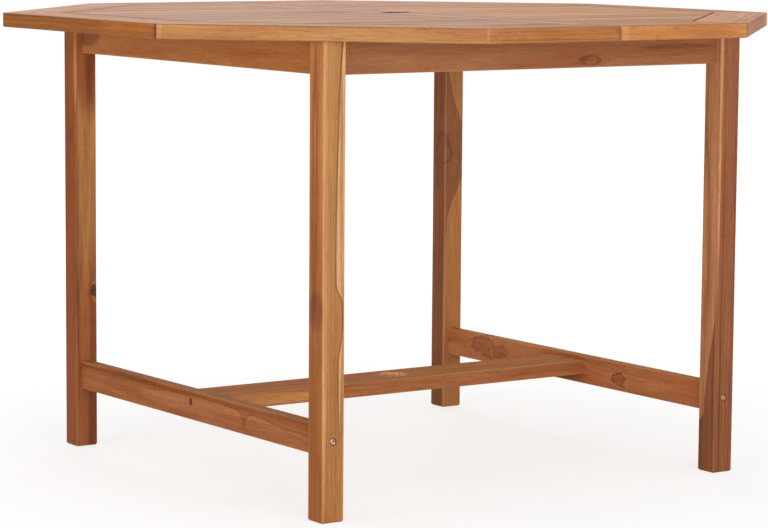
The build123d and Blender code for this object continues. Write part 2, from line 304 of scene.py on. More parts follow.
@dataclass(frozen=True)
class Rim(Zone):
    """A zone outside a regular octagon about the table's middle, whose half width is the reach."""

    reach: float

    def depth(self, add: Adder, place: NodeSocket) -> Node:
        """Depth past an octagon: the largest of |x|, |y| and (|x| + |y|) / sqrt(2), less the reach.

        Args:
            add: Adds a node to the material.
            place: Object coordinates.

        Returns:
            The node that gives the depth.
        """
        size = add("VectorMath", {0: place}, operation="ABSOLUTE")
        parts = add("SeparateXYZ", {0: size}).outputs
        slant = add("VectorMath", {0: size, 1: (math.sqrt(0.5), math.sqrt(0.5), 0.0)},
                    operation="DOT_PRODUCT").outputs["Value"]
        far = add("Math", {0: parts["X"], 1: parts["Y"]}, operation="MAXIMUM")
        far = add("Math", {0: far, 1: slant}, operation="MAXIMUM")
        return add("Math", {0: far, 1: 1 / MM, 2: -self.reach}, operation="MULTIPLY_ADD")


@dataclass(frozen=True)
class Knot:
    """A branch's root in a board, in millimetres, that the growth bands bend round.

    Depth is how much of its core's colour shows at its outline, and heart the share of that at its middle.
    """

    centre: Triple
    radius: float
    stretch: float = 1.6
    push: float = 9.0
    core: str = "#4E2C1A"
    depth: float = 0.85
    heart: float = 1.0
    ragged: float = 0.35

    def veil(self) -> list:
        """Stops of a ramp over the distance in diameters, with how much of the core shows as alpha."""
        shares = ((0.0, self.heart), (0.34, 0.7 * self.heart), (0.50, 1.0), (0.66, 0.0))
        return [(place, (*linear(self.core)[:3], share * self.depth)) for place, share in shares]


@dataclass(frozen=True)
class Board:
    """One sawn board: its solid, how its fibres run and where its log's pith lay, in metres.

    Shade, contrast, oil and arris wear and light are shares of what the finish has: of its brightness, of the
    spread of its growth bands, of its sheen and of its arris colour, which is pale wear with a painted
    highlight under the top and painted shade on the top.
    """

    node: str
    grain: Grain
    wood: Wood
    seed: int
    centre: Vector
    half: Point
    pith: Point
    shade: float = 1.0
    contrast: float = 1.0
    oil: float = 1.0
    wear: float = 1.0
    zones: tuple[Zone, ...] = ()
    knots: tuple[Knot, ...] = ()


@dataclass(frozen=True)
class Fleck:
    """A mark of the wood that is drawn out along the fibres, in millimetres, and the noise that gives it."""

    width: float
    length: float
    detail: float
    roughness: float


@dataclass(frozen=True)
class WoodFinish:
    """Sawn, planed and sanded wood under a thin coat of oil, seen as a solid cut from a log.

    Growth bands are shells round the pith, so a plain sawn face shows arches, a quarter sawn one
    shows stripes and an end shows rings. Oil leaves a soft gloss that is duller on the open early wood.
    """

    name: str
    band_mm: float = 5.5
    wander: Fleck = Fleck(26.0, 420.0, 2.0, 0.5)
    wander_depth_mm: float = 16.0
    fibre: Fleck = Fleck(1.3, 46.0, 3.0, 0.6)
    fibre_share: float = 0.45
    pores: Fleck = Fleck(1.0, 16.0, 1.0, 0.4)
    pore_edge: Point = (0.30, 0.40)
    pore_colour: str = "#6A4028"
    pore_share: float = 0.30
    pore_relief: float = 0.8
    figure: Fleck = Fleck(30.0, 260.0, 2.0, 0.55)
    figure_share: float = 0.70
    blush: str = "#E9BFA4"
    blush_edge: Point = (0.42, 0.68)
    blush_share: float = 0.28
    knot_reach: float = 3.2
    arris_mm: float = 3.0
    arris_crest: float = 0.2
    # Colour along the long arrises: wear with a painted highlight when pale, painted shade when dark
    arris_wear: float = 0.75
    arris_wear_light_colour: str = "#CC9C74"
    gloss: float = 0.44
    dull: float = 0.62
    sheen: float = 0.10
    relief_mm: float = 0.25
    log_step: float = 0.37

    def knot_distance(self, add: Adder, place: NodeSocket, knot: Knot, board: Board) -> Node:
        """Measure how far each point is from a knot's middle, in knot radii, with a ragged outline.

        Args:
            add: Adds a node to the material.
            place: Object coordinates.
            knot: The knot.
            board: The board that it is in.

        Returns:
            The node that gives the distance, which is 1 on the knot's outline.
        """
        radius = knot.radius * MM
        centred = add("Mapping", {
            "Vector": place, "Location": [MM * value for value in knot.centre],
            "Rotation": board.grain.turn, "Scale": (radius, radius, radius * knot.stretch)},
            vector_type="TEXTURE")
        distance = add("VectorMath", {0: centred}, operation="LENGTH").outputs["Value"]
        rags = add("TexNoise", {"Vector": centred, "Scale": 1.3, "Detail": 2.0, "Roughness": 0.5})
        rags = add("MapRange", {
            "Value": rags, "From Min": 0.3, "From Max": 0.7, "To Min": -knot.ragged, "To Max": knot.ragged})
        return add("Math", {0: distance, 1: rags}, operation="ADD")

    def zone_layers(self, add: Adder, place: NodeSocket, bands: Node, wave: NodeSocket, zone: Zone,
                    shade: float) -> list[Layer]:
        """Work out a zone's wood, and any line along its border, to lay over the board's colour.

        Args:
            add: Adds a node to the material.
            place: Object coordinates.
            bands: The growth bands, from 0 to 1.
            wave: A slow noise that makes the zone's border wander.
            zone: The zone.
            shade: The board's own brightness.

        Returns:
            The layers.
        """
        deep = add("Math", {0: wave, 1: zone.wobble, 2: zone.depth(add, place)}, operation="MULTIPLY_ADD")
        line = zone.wobble / 2
        inside = add("MapRange", {
            "Value": deep, "From Min": line - zone.blur / 2, "From Max": line + zone.blur / 2},
            interpolation_type="SMOOTHSTEP")
        other = add("ValToRGB", {"Fac": bands}, zone.wood.stops(shade * zone.shade))
        if zone.rim is None:
            return [(inside, "MIX", other)]
        off_line = add("Math", {0: deep, 1: line}, operation="SUBTRACT")
        off_line = add("Math", {0: off_line}, operation="ABSOLUTE")
        rim = add("MapRange", {
            "Value": off_line, "From Max": zone.rim_width, "To Min": zone.rim_share, "To Max": 0.0},
            interpolation_type="SMOOTHSTEP")
        return [(inside, "MIX", other), (rim, "MIX", linear(zone.rim))]

    def material(self, board: Board) -> Material:
        """Build the material of one board from its own log.

        Args:
            board: The board.

        Returns:
            The finished material.
        """
        material, add = new_material(f"{self.name}_{board.node}")
        turn = board.grain.turn
        pith = board.centre + turn.to_matrix() @ Vector((*board.pith, self.log_step * board.seed))
        place = add("TexCoord").outputs["Object"]
        log = add("Mapping", {"Vector": place, "Location": pith, "Rotation": turn}, vector_type="TEXTURE")
        flecks = []
        for fleck in (self.wander, self.fibre, self.pores, self.figure):
            scale = [1 / (size * MM) for size in (fleck.width, fleck.width, fleck.length)]
            stretched = add("Mapping", {"Vector": log, "Scale": scale})
            flecks.append(add("TexNoise", {
                "Vector": stretched, "Scale": 1.0, "Detail": fleck.detail,
                "Roughness": fleck.roughness}).outputs)
        (_, wander), (fibre, _), (pores, _), (figure, drift) = flecks

        # The trunk wandered as it grew, so its shells are not true cylinders
        depth = self.wander_depth_mm * MM
        bent = add("VectorMath", {0: wander, 1: (depth, depth, 0.0), 2: log}, operation="MULTIPLY_ADD")
        flat = add("VectorMath", {0: bent, 1: (1.0, 1.0, 0.0)}, operation="MULTIPLY")
        radius = add("VectorMath", {0: flat}, operation="LENGTH").outputs["Value"]
        knots = [(knot, self.knot_distance(add, place, knot, board)) for knot in board.knots]
        for knot, distance in knots:
            bulge = add("MapRange", {
                "Value": distance, "From Max": self.knot_reach, "To Min": knot.push * MM, "To Max": 0.0},
                interpolation_type="SMOOTHERSTEP")
            radius = add("Math", {0: radius, 1: bulge}, operation="ADD")

        # Years differ in width and darkness, so the bands are a noise along the radius, moved by the figure
        year = add("Math", {0: radius, 1: self.band_mm * MM}, operation="DIVIDE")
        bands = add("TexNoise", {"W": year, "Scale": 1.0, "Detail": 2.5, "Roughness": 0.55},
                    noise_dimensions="1D")
        shift = add("Math", {0: figure, 1: self.figure_share, 2: -self.figure_share / 2},
                    operation="MULTIPLY_ADD")
        bands = add("Math", {0: bands, 1: shift}, operation="ADD")
        bands = add("Math", {0: bands, 1: board.contrast, 2: 0.5 * (1.0 - board.contrast)},
                    operation="MULTIPLY_ADD")
        colour = add("ValToRGB", {"Fac": bands}, board.wood.stops(board.shade))

        # Redder clouds drift along the board, and zones and knots lie over them
        drift = add("SeparateColor", {0: drift}).outputs["Green"]
        cloud = add("MapRange", {
            "Value": drift, "From Min": self.blush_edge[0], "From Max": self.blush_edge[1],
            "To Max": self.blush_share}, interpolation_type="SMOOTHSTEP")
        layers = [(cloud, "MULTIPLY", linear(self.blush))]
        for zone in board.zones:
            layers += self.zone_layers(add, place, bands, figure, zone, board.shade)
        for knot, distance in knots:
            veil = add("Math", {0: distance, 1: 0.5}, operation="MULTIPLY")
            veil = add("ValToRGB", {"Fac": veil}, knot.veil()).outputs["Alpha"]
            layers.append((veil, "MIX", linear(knot.core)))

        # Fibres streak the colour, and open pores are short dark dashes, drawn coarse enough to show
        pore = add("MapRange", {
            "Value": pores, "From Min": self.pore_edge[0], "From Max": self.pore_edge[1], "To Min": 1.0,
            "To Max": 0.0}, interpolation_type="SMOOTHSTEP")
        pore_shade = add("Math", {0: pore, 1: self.pore_share}, operation="MULTIPLY")
        layers += [(self.fibre_share, "OVERLAY", fibre), (pore_shade, "MULTIPLY", linear(self.pore_colour))]

        # The long arrises take the finish's arris colour: paler for wear and a painted highlight where the
        # rounding catches the light, darker as painted shade along the top's arrises.
        # The figure breaks this colour up. It is a half on average, so the share is doubled
        section = add("Mapping", {"Vector": place, "Location": board.centre, "Rotation": turn},
                      vector_type="TEXTURE")
        section = add("VectorMath", {0: section}, operation="ABSOLUTE")
        section = add("VectorMath", {0: (*board.half, 0.0), 1: section}, operation="SUBTRACT")
        parts = add("SeparateXYZ", {0: section}).outputs
        inset = add("Math", {0: parts["X"], 1: parts["Y"]}, operation="MAXIMUM")
        arris_wear_light_mask = add("MapRange", {
            "Value": inset, "From Min": self.arris_crest * self.arris_mm * MM,
            "From Max": self.arris_mm * MM, "To Min": 2.0 * self.arris_wear * board.wear, "To Max": 0.0},
            interpolation_type="SMOOTHSTEP")
        arris_wear_light_mask = add("Math", {0: arris_wear_light_mask, 1: figure}, operation="MULTIPLY")
        layers.append((arris_wear_light_mask, "MIX", linear(self.arris_wear_light_colour)))
        for share, blend, other in layers:
            colour = add("Mix", {MIX_FACTOR: share, MIX_A: colour, MIX_B: other},
                         data_type="RGBA", blend_type=blend).outputs[MIX_RESULT]

        relief = add("Math", {0: pore, 1: -self.pore_relief, 2: fibre}, operation="MULTIPLY_ADD")
        bump = add("Bump", {"Strength": 0.5, "Distance": self.relief_mm * MM, "Height": relief})
        rough = add("MapRange", {
            "Value": fibre, "From Min": 0.25, "From Max": 0.75, "To Min": self.gloss, "To Max": self.dull})
        shader = add("BsdfPrincipled", {
            "Base Color": colour, "Roughness": rough, "Normal": bump, "IOR": 1.5,
            "Specular IOR Level": self.sheen * board.oil})
        add("OutputMaterial", {"Surface": shader})
        return material


@dataclass(frozen=True)
class ZincFinish:
    """Cold formed steel with a thin warm zinc plating, in soft clouds of brighter and duller metal."""

    name: str = "zinc_plated_steel"
    bright: str = "#C69C86"
    dull: str = "#8C6654"
    cloud_mm: float = 2.4
    grit_mm: float = 0.35
    grit_relief_mm: float = 0.05

    def material(self) -> Material:
        """Build the plated steel's material.

        Returns:
            The finished material.
        """
        material, add = new_material(self.name)
        place = add("TexCoord").outputs["Object"]
        cloud = add("TexNoise", {"Vector": place, "Scale": 1 / (self.cloud_mm * MM), "Detail": 3.0})
        grit = add("TexNoise", {"Vector": place, "Scale": 1 / (self.grit_mm * MM), "Detail": 2.0})
        colour = add("ValToRGB", {"Fac": cloud}, [(0.35, linear(self.dull)), (0.62, linear(self.bright))])
        rough = add("MapRange", {
            "Value": cloud, "From Min": 0.3, "From Max": 0.7, "To Min": 0.46, "To Max": 0.26})
        bump = add("Bump", {"Strength": 0.2, "Distance": self.grit_relief_mm * MM, "Height": grit})
        shader = add("BsdfPrincipled", {
            "Base Color": colour, "Metallic": 1.0, "Roughness": rough, "Normal": bump})
        add("OutputMaterial", {"Surface": shader})
        return material


# Teak under the top is paler along its arrises: wear, with a painted highlight where the rounded arrises
# catch the light
TEAK = WoodFinish("oiled_teak")

# The top gets more oil, so it shines a little more, and its arrises are darkened as painted shade
TOP_TEAK = WoodFinish("oiled_teak_top", arris_mm=2.2, arris_wear=0.5, arris_wear_light_colour="#7E4C2C", sheen=0.17)

# Battens, blocks and dowels are left as they were sawn, so they are dull and rough
BARE_HARDWOOD = WoodFinish("sawn_hardwood", arris_wear=0.1, gloss=0.66, dull=0.82, relief_mm=0.4)


def dress(finish: WoodFinish, boards: list[Board]) -> None:
    """Put each board's own material into its solid's material slots.

    Args:
        finish: The wood that the boards are sawn from.
        boards: The boards.
    """
    for board in boards:
        material = finish.material(board)
        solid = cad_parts[board.node]
        if not solid.material_slots:
            solid.data.materials.append(material)
        for slot in solid.material_slots:
            slot.material = material
        LOG.info("dressed %s", board.node)


def sawn_board(node: str, grain: Grain, wood: Wood, seed: int, **looks: object) -> Board:
    """Describe a board, with its middle and section read from its solid's box unless they are given.

    The pith's place across the board is drawn from the seed, as a distance and a direction.

    Args:
        node: Name of the solid.
        grain: How its fibres run.
        wood: Its tone.
        seed: Number of its log.
        looks: Other fields of the board.

    Returns:
        The board.
    """
    low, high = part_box(node)
    across = [abs(value) for value in grain.turn.to_matrix().transposed() @ ((high - low) / 2)]
    draw = np.random.default_rng(seed)
    reach = draw.uniform(*PITH_REACH) * MM
    angle = draw.uniform(0.0, 2 * math.pi)
    read = {"centre": (low + high) / 2, "half": (across[0], across[1]),
            "pith": (reach * math.cos(angle), reach * math.sin(angle))}
    return Board(node, grain, wood, seed, **(read | looks))


@dataclass
class TableTop:
    """Both halves of the octagon: mitred borders, stiles along the seam, slats and battens."""

    slat_count: int = 11
    slat_woods: tuple[Wood, ...] = (Wood.ROSE, Wood.WHEAT, Wood.ROSE, Wood.STRAW)
    slat_shades: tuple[float, ...] = (1.04, 1.12)
    shade_spread: float = 0.08
    border_contrast: float = 0.7
    gap_margin: float = 0.4
    end_shade_reach: float = 17.0
    seeds: int = 100
    batten_seeds: int = 340

    def border_looks(self) -> dict[str, dict]:
        """Woods of the border's front boards, with the paler and darker ends that show where they meet. The
        small pale marks on the corners are painted highlights, and the paler tops are painted sheen.

        Returns:
            Fields of these boards, by node.
        """
        low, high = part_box("left_border_side")
        edge, z = low.x / MM, (low.z + high.z) / 2 / MM
        corner = edge * math.tan(HALF_CORNER)
        # Paler top faces: a painted sheen, like the glossy reflection on the rest of the top
        painted_top_light = Lens(Wood.ROSE, (0, 0, high.z / MM), (FAR, FAR, 1.2), shade=1.15, blur=0.8, wobble=0.0)
        return {
            "left_border_side": dict(wood=Wood.CHESTNUT, shade=0.96, oil=0.6, zones=(
                Lens(Wood.CHESTNUT, (edge, corner + 30, z), (70, 130, 70), shade=1.3, blur=45.0), painted_top_light,
                Lens(Wood.UMBER, (edge, corner + 3, z), (6, 5, 60), blur=2.0, wobble=1.0))),
            # Painted highlights: small pale marks where the rounded corners catch the light
            "left_border_front_diagonal": dict(wood=Wood.WHEAT, shade=0.88, zones=(
                Lens(Wood.STRAW, (edge + 2, corner - 2, z), (5, 5, 60), blur=4.0, wobble=1.0),)),
            "left_border_front": dict(wood=Wood.HONEY, shade=0.83, zones=(
                Lens(Wood.STRAW, (corner + 2, edge, z), (3, 8, 60), blur=2.0, wobble=1.0),)),
            # Painted highlight on the rounded edge by the seam
            "right_border_front": dict(wood=Wood.HONEY, zones=(
                Lens(Wood.STRAW, (5, edge, z), (9, 12, 60), blur=5.0, wobble=2.0),)),
            "right_border_front_diagonal": dict(wood=Wood.CINNAMON, shade=1.08, zones=(
                Lens(Wood.STRAW, (-edge, corner, z), (75, 75, 75), shade=0.85, blur=10.0), painted_top_light,
                Lens(Wood.UMBER, (-corner + 3, edge, z), (6, 6, 60), blur=2.0, wobble=1.0))),
        }

    def border_boards(self) -> list[Board]:
        """Boards of the octagon's rim.

        Returns:
            One board for each side, two for each side that the seam cuts.
        """
        low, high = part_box("left_border_side")
        width, height = high.x - low.x, (low.z + high.z) / 2
        section = ((high.z - low.z) / 2, width / 2)
        reach = -low.x - width / 2
        rows = []
        for number, (half, side) in enumerate(SIDES.items()):
            seed = self.seeds + 20 * number
            rows.append((f"{half}_border_side", Grain.ALONG_Y, seed + 1, {"wood": Wood.GOLDEN}))
            for place, end in ENDS.items():
                seed += 2
                rows.append((f"{half}_border_{place}", Grain.ALONG_X, seed, {"wood": Wood.GOLDEN}))
                grain = Grain.FALLING if side == end else Grain.RISING
                centre = Vector((side * reach, end * reach, 0.0)) / math.sqrt(2) + Vector((0, 0, height))
                rows.append((f"{half}_border_{place}_diagonal", grain, seed + 1,
                             {"wood": Wood.HONEY, "centre": centre, "half": section}))
        looks = self.border_looks()
        return [sawn_board(node, grain, seed=seed, contrast=self.border_contrast,
                           **(plain | looks.get(node, {}))) for node, grain, seed, plain in rows]

    def inner_boards(self) -> list[Board]:
        """Stiles and slats, each slat with a wood and a shade drawn from its seed.

        The sides of these boards are painted dark between their two faces, as painted shade in the gaps.
        The left half's slats are painted darker towards the border, as painted shade from the gap at their
        ends.

        Returns:
            The stile of each half, then its slats.
        """
        low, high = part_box("left_stile")
        middle, dark = (low.z + high.z) / 2 / MM, (high.z - low.z) / 2 / MM - self.gap_margin
        # Painted shade in the gaps: the boards' sides between their two faces
        gap_shade = Lens(Wood.GAP_SHADE, (0, 0, middle), (FAR, FAR, dark), wobble=0.0)
        # Painted shade at the slats' ends by the border, where the gap lies
        end_shade = Rim(Wood.RUST, -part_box("left_border_side")[1].x / MM - self.end_shade_reach, blur=10.0,
                       wobble=14.0)
        streak = Lens(Wood.RUST, (-140, 42, 750), (80, 14, 8), blur=5.0)
        seam = {"left": Lens(Wood.SAPWOOD, (0, 0, 738), (30, 700, 40), blur=6.0),
                "right": Lens(Wood.RUST, (0, -150, 738), (11, 460, 40), blur=6.0)}
        slat_zones = {"left": (end_shade, streak, gap_shade), "right": (gap_shade,)}
        boards = []
        for number, half in enumerate(SIDES):
            boards.append(sawn_board(f"{half}_stile", Grain.ALONG_Y, Wood.ROSE, self.seeds + 60 + number,
                                     zones=(seam[half], gap_shade)))
            for row in range(1, self.slat_count + 1):
                seed = self.seeds + 100 * (number + 1) + row
                draw = np.random.default_rng(seed)
                wood = self.slat_woods[draw.integers(len(self.slat_woods))]
                shade = self.slat_shades[number] + self.shade_spread * draw.uniform(-1.0, 1.0)
                boards.append(sawn_board(f"{half}_slat_{row:02d}", Grain.ALONG_X, wood, seed, shade=shade,
                                         zones=slat_zones[half]))
        return boards

    def dress(self) -> None:
        """Give every board of the top its wood."""
        dress(TOP_TEAK, self.border_boards() + self.inner_boards())
        dress(BARE_HARDWOOD, [
            sawn_board(f"{half}_batten", Grain.ALONG_Y, Wood.SAWN_HARDWOOD, self.batten_seeds + number)
            for number, half in enumerate(SIDES)])


@dataclass
class LegFrame:
    """Four legs and four aprons, with a block across each inside corner."""

    seeds: int = 400

    def legs(self) -> list[Board]:
        """The legs, with the sapwood, dark feet, knots and arrises that are paler from wear and painted
        highlights.

        Returns:
            The front legs, then the rear ones.
        """
        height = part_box("leg_front_left")[1].z / MM
        return [
            sawn_board(
                "leg_front_left", Grain.UPRIGHT, Wood.HONEY, self.seeds + 1, pith=(-0.16, 0.015), shade=1.07,
                contrast=0.6, wear=0.35, zones=(
                    Lens(Wood.GOLDEN, (-385, -385, 120), (200, 200, 420), shade=1.05, blur=70.0),
                    Lens(Wood.TAWNY, (-385, -385, 40), (200, 200, 240), blur=60.0),
                    Lens(Wood.RUSSET, (-405, -387, 322), (8, 24, 30), blur=5.0),
                    Border(Wood.WHEAT, Axis.Y, Axis.X, 1, ((-405, -405), (-365, -365)), shade=0.80, blur=0.8,
                           wobble=0.0),
                    Lens(Wood.HONEY, (-380, -412, 0), (24, 30, 330), shade=0.75, blur=9.0),
                    Border(Wood.SAPWOOD, Axis.Z, Axis.X, 1, (
                        (0, -374), (148, -375.7), (245, -377), (268, -373), (290, -369.7), (322, -369.7),
                        (340, -372), (358, -381), (450, -382), (650, -377), (700, -374), (height, -371)),
                        rim="#6A3E20", rim_width=1.9, wobble=3.0),
                    Lens(Wood.WHEAT, (-362, -406, 70), (14, 12, 200), shade=0.95, blur=8.0),
                    # Painted highlight: a pale band along the front-left arris, where the rounding catches
                    # the light
                    Lens(Wood.STRAW, (-401, -408, 430), (4.5, 6, 520), shade=0.97, blur=2.0, wobble=2.5))),
            sawn_board(
                "leg_front_right", Grain.UPRIGHT, Wood.MAUVE, self.seeds + 2, pith=(0.13, 0.05),
                contrast=0.7, wear=0.2, zones=(
                    Lens(Wood.UMBER, (385, -385, 30), (200, 200, 260), shade=1.25, blur=70.0),
                    Border(Wood.ROSE, Axis.Z, Axis.Y, 1, (
                        (0, -355), (70, -357), (94, -376), (129, -380), (191, -389.5), (241, -400),
                        (290, -403), (height, -403)), shade=1.09, blur=2.5, wobble=3.0),
                    # Painted highlight: a pale strip along the front-left arris
                    Lens(Wood.ROSE, (366, -406, height), (4, 3.4, 430), shade=1.17, blur=2.0, wobble=1.0))),
            sawn_board(
                "leg_rear_left", Grain.UPRIGHT, Wood.RUST, self.seeds + 3, pith=(0.0, 0.17), contrast=0.6,
                wear=0.2, zones=(
                    Border(Wood.WHEAT, Axis.Z, Axis.X, 1, (
                        (0, -390), (120, -396), (300, -402), (height, -402)), shade=0.89, blur=4.0),
                    Lens(Wood.RUSSET, (-380, 365, 120), (34, 12, 190), blur=9.0),
                    Lens(Wood.RUSSET, (-378, 365, 650), (30, 12, 80), blur=9.0, wobble=8.0),
                    Lens(Wood.GOLDEN, (-405, 365, 650), (2.5, 5, 60), shade=1.1, blur=2.0, wobble=3.0),
                    Lens(Wood.RUSSET, (-372, 365, 30), (22, 12, 75), shade=0.95, blur=9.0)),
                knots=(Knot((-371, 365, 268), 5.5, push=5.0, core="#3A2014", depth=0.95),
                       Knot((-405, 384, 534), 6.0, push=5.0, depth=0.35))),
            sawn_board(
                "leg_rear_right", Grain.UPRIGHT, Wood.SIENNA, self.seeds + 4, pith=(0.02, 0.09), shade=0.68,
                contrast=0.5, wear=0.35, zones=(
                    Border(Wood.HONEY, Axis.Z, Axis.X, 1, (
                        (0, 368), (240, 368), (297, 368), (330, 370), (365, 375), (400, 391), (426, 402),
                        (440, 410), (480, 413), (520, 410), (533, 402), (555, 393), (578, 384), (600, 379),
                        (622, 374), (660, 370), (height, 368)), shade=1.3, rim="#B98A5E", wobble=1.5),
                    # Painted highlights: pale lines along the front-left arris, brighter low down
                    Lens(Wood.ROSE, (364, 364, 500), (3.5, 3.5, 700), shade=0.92, wobble=1.0),
                    Lens(Wood.ROSE, (364, 364, 100), (4, 4, 330), shade=1.5, wobble=1.0)),
                knots=(Knot((365, 376, 481), 17.0, stretch=1.5, push=12.0, depth=0.45, heart=0.25),
                       Knot((365, 383, 432), 8.0, stretch=2.2, depth=0.45, heart=0.3))),
        ]

    def aprons(self) -> list[Board]:
        """The aprons, with the front one's knots and streak and the left one's dark end.

        Returns:
            The front and rear aprons, then the left and right ones.
        """
        return [
            sawn_board(
                "apron_front", Grain.ALONG_X, Wood.SIENNA, self.seeds + 11, pith=(0.01, 0.16), shade=0.72,
                contrast=0.7, wear=0.3, zones=(
                    Lens(Wood.RUSSET, (285, -393, 705), (75, 9, 4), shade=0.85, blur=3.0, wobble=2.0),),
                knots=(
                    Knot((105, -393, 686), 7.0, stretch=2.5, push=4.0, depth=0.55, heart=0.15, ragged=0.12),
                    Knot((88, -393, 685), 5.0, stretch=1.5, push=2.0, depth=0.4, heart=0.4))),
            sawn_board("apron_rear", Grain.ALONG_X, Wood.RUSSET, self.seeds + 12),
            sawn_board(
                "apron_left", Grain.ALONG_Y, Wood.GOLDEN, self.seeds + 15, pith=(0.16, 0.01), contrast=0.5,
                wear=0.3, zones=(Lens(Wood.RUSSET, (-393, 352, 708), (20, 50, 20), shade=0.72, blur=12.0),)),
            sawn_board("apron_right", Grain.ALONG_Y, Wood.RUSSET, self.seeds + 14),
        ]

    def dress(self) -> None:
        """Give legs, aprons and corner blocks their wood."""
        dress(TEAK, self.legs() + self.aprons())
        blocks = []
        for number, (place, half) in enumerate((place, half) for place in ENDS for half in SIDES):
            grain = Grain.RISING if (place == "front") == (half == "right") else Grain.FALLING
            node = f"corner_block_{place}_{half}"
            low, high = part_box(node)
            section = ((high.z - low.z) / 2, (high.x - low.x) / 2)
            blocks.append(sawn_board(node, grain, Wood.SAWN_HARDWOOD, self.seeds + 20 + number, half=section))
        dress(BARE_HARDWOOD, blocks)


@dataclass
class LowFrame:
    """Two stretchers low between the legs and the board with the lower parasol hole."""

    seeds: int = 500

    def dress(self) -> None:
        """Give the stretchers and the low board their wood. Their tops are painted paler, as painted light
        from above.
        """
        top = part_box("stretcher_left")[1].z / MM
        # Paler top faces: painted light from above
        painted_top_light = Lens(Wood.HONEY, (0, 0, top), (FAR, FAR, 1.2), blur=0.8, wobble=0.0)
        pale_knot = dict(push=4.0, core="#7A4028", depth=0.55, heart=0.8, ragged=0.4)
        dress(TEAK, [
            sawn_board(
                "stretcher_left", Grain.ALONG_Y, Wood.CINNAMON, self.seeds + 1, pith=(0.06, 0.02), shade=1.06,
                contrast=0.6, oil=0.2, wear=0.4, zones=(
                    Border(Wood.SIENNA, Axis.Y, Axis.Z, -1, (
                        (-365, 126), (-258, 129), (-198, 134), (-182, 133), (-174, 128), (-170, 118),
                        (-167, 106), (-164, 108), (-160, 122), (-154, 131), (-144, 136), (-99, 138),
                        (15, 140), (155, 130), (365, 124)), shade=1.1, rim="#7E4A2A", rim_width=1.0,
                        wobble=4.0),
                    Lens(Wood.CINNAMON, (-395, 330, 110), (60, 170, 60), shade=1.03, blur=30.0), painted_top_light)),
            sawn_board(
                "stretcher_right", Grain.ALONG_Y, Wood.SIENNA, self.seeds + 2, pith=(0.17, 0.01), shade=1.3,
                contrast=0.7, oil=0.2, wear=0.4, zones=(painted_top_light,), knots=(
                    Knot((375, -141, 120), 9.5, push=4.0, core="#5A2C18", depth=0.75, heart=0.55),
                    Knot((375, 252, 129), 17.0, **pale_knot), Knot((375, 199, 122), 12.0, **pale_knot))),
            sawn_board(
                "parasol_board", Grain.ALONG_X, Wood.CINNAMON, self.seeds + 3, shade=0.94, contrast=0.7,
                oil=0.1, wear=0.3, zones=(
                    Lens(Wood.HONEY, (-290, -45, 128), (130, 14, 10), shade=1.05, blur=5.0),
                    # Paler top face: painted light from above
                    Lens(Wood.HONEY, (0, 0, 141), (900, 900, 0.7), shade=1.33, blur=0.6, wobble=0.0),
                    # Painted light on the hole's far wall
                    Lens(Wood.SAPWOOD, (0, 0, 129), (26.5, 26.5, 300), shade=1.2, blur=1.0, wobble=0.0))),
        ])


def turn_of(columns: int) -> np.ndarray:
    """Angles of one turn, without its end."""
    return np.linspace(0, 2 * math.pi, columns, endpoint=False)


def hexagon_radius(angles: np.ndarray, across: float) -> np.ndarray:
    """Radius of a regular hexagon: half its width over the cosine of the angle from the nearest flat."""
    return across / 2 / np.cos(np.mod(angles + math.pi / 6, math.pi / 3) - math.pi / 6)


def thread_radius(angles: np.ndarray, heights: np.ndarray, major: float, pitch: float) -> np.ndarray:
    """Radius of a thread: a triangle wave of the height less one pitch for each turn, below the crest."""
    phase = np.mod(heights / pitch - angles / (2 * math.pi), 1.0)
    return major - THREAD_DEPTH * pitch * np.abs(2 * phase - 1.0)


def outline(*points: Point) -> Band:
    """Radii and heights of an outline's points, one row for each, the same at every angle."""
    radii, heights = np.array(points, dtype=float).T[:, :, None]
    return radii, heights


def rounded_corner(start: Point, corner: Point, end: Point, steps: int = 4) -> list[Point]:
    """Round off a corner of an outline: the quadratic curve from start to end that the corner pulls on.

    Args:
        start: Where the curve leaves the first side.
        corner: The sharp corner.
        end: Where it meets the second side.
        steps: Number of its chords.

    Returns:
        The curve's points.
    """
    share = np.linspace(0, 1, steps + 1)[:, None]
    a, b, c = (np.array(point, dtype=float) for point in (start, corner, end))
    curve = (1 - share) ** 2 * a + 2 * share * (1 - share) * b + share ** 2 * c
    return [tuple(point) for point in curve.tolist()]


